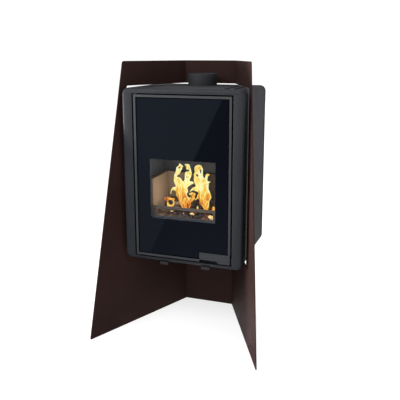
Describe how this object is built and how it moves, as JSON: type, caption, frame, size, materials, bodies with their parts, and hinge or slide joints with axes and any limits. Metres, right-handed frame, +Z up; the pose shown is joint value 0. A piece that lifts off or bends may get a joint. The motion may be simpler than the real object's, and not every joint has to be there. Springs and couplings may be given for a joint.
{
  "type": "wood burning stove",
  "caption": "Wood burning stove: a steel insert with a tall black glass door, carried in a folded three-panel sheet-steel stand.",
  "frame": {"origin": "on the floor under the middle of the part's width and depth", "axes": "+Z up, the door faces -Y, +X to the right of someone facing the door"},
  "size_m": [0.869, 0.6384, 1.392],
  "materials": {
    "stand_paint": "satin dark brown powder coat",
    "body_paint": "matt anthracite stove paint",
    "cover_paint": "matt dark grey stove paint",
    "strip_paint": "satin grey stove paint",
    "ceramic_glass": "black-printed ceramic glass with a clear viewing area",
    "firebox_steel": "heat-greyed steel sheet",
    "vermiculite": "rough pressed vermiculite board",
    "grate_iron": "sand-cast iron",
    "zinc_steel": "zinc plated",
    "seal_rope": "knitted glass-fibre rope",
    "bark": "charred split firewood",
    "embers": "glowing charcoal"
  },
  "bodies": {
    "stove": {"folded_stand": "stand_paint", "casing_top": "body_paint", "casing_bottom": "body_paint", "casing_left": "body_paint", "casing_right": "body_paint", "front_bezel": "body_paint", "flue_collar": "body_paint", "rear_cover": "cover_paint", "flue_trim_ring": "cover_paint", "hinge_lugs": "cover_paint", "latch_strike": "cover_paint", "air_slide_guides": "cover_paint", "support_rails": "cover_paint", "firebox_front": "firebox_steel", "firebox_shell": "firebox_steel", "smoke_hood": "firebox_steel", "baffle_rests": "firebox_steel", "airwash_deflector": "firebox_steel", "ash_box": "firebox_steel", "air_box": "firebox_steel", "log_retainer": "firebox_steel", "liner_left": "vermiculite", "liner_right": "vermiculite", "liner_back": "vermiculite", "liner_floor": "vermiculite", "baffle_plate": "vermiculite", "grate": "grate_iron", "rail_bolts": "zinc_steel", "cover_screws": "zinc_steel", "ash_pan": "zinc_steel", "split_logs": "bark", "ember_bed": "embers"},
    "door": {"door_frame": "strip_paint", "door_glass": "ceramic_glass", "glass_gasket": "seal_rope", "door_back_panel": "firebox_steel", "panel_clips": "zinc_steel", "clip_screws": "zinc_steel", "door_seal_rope": "seal_rope", "handle_tray": "firebox_steel", "hinge_blocks": "zinc_steel", "hinge_pins": "zinc_steel"},
    "handle": {"door_handle": "body_paint", "handle_pivot_pin": "zinc_steel", "latch_hook": "zinc_steel"},
    "primary_air": {"primary_air_slide": "strip_paint"},
    "secondary_air": {"secondary_air_slide": "strip_paint"}
  },
  "joints": [
    {"name": "door_hinge", "type": "hinge", "parent": "stove", "child": "door", "pos_m": [-0.236, -0.11975, 0.827], "axis": [0, 0, -1], "range_deg": [0, 100]},
    {"name": "handle_pivot", "type": "hinge", "parent": "door", "child": "handle", "pos_m": [0.238, -0.12225, 0.443], "axis": [0, 0, 1], "range_deg": [0, 20]},
    {"name": "primary_air", "type": "slide", "parent": "stove", "child": "primary_air", "axis": [1, 0, 0], "range_m": [0, 0.038]},
    {"name": "secondary_air", "type": "slide", "parent": "stove", "child": "secondary_air", "axis": [1, 0, 0], "range_m": [-0.038, 0]}
  ]
}
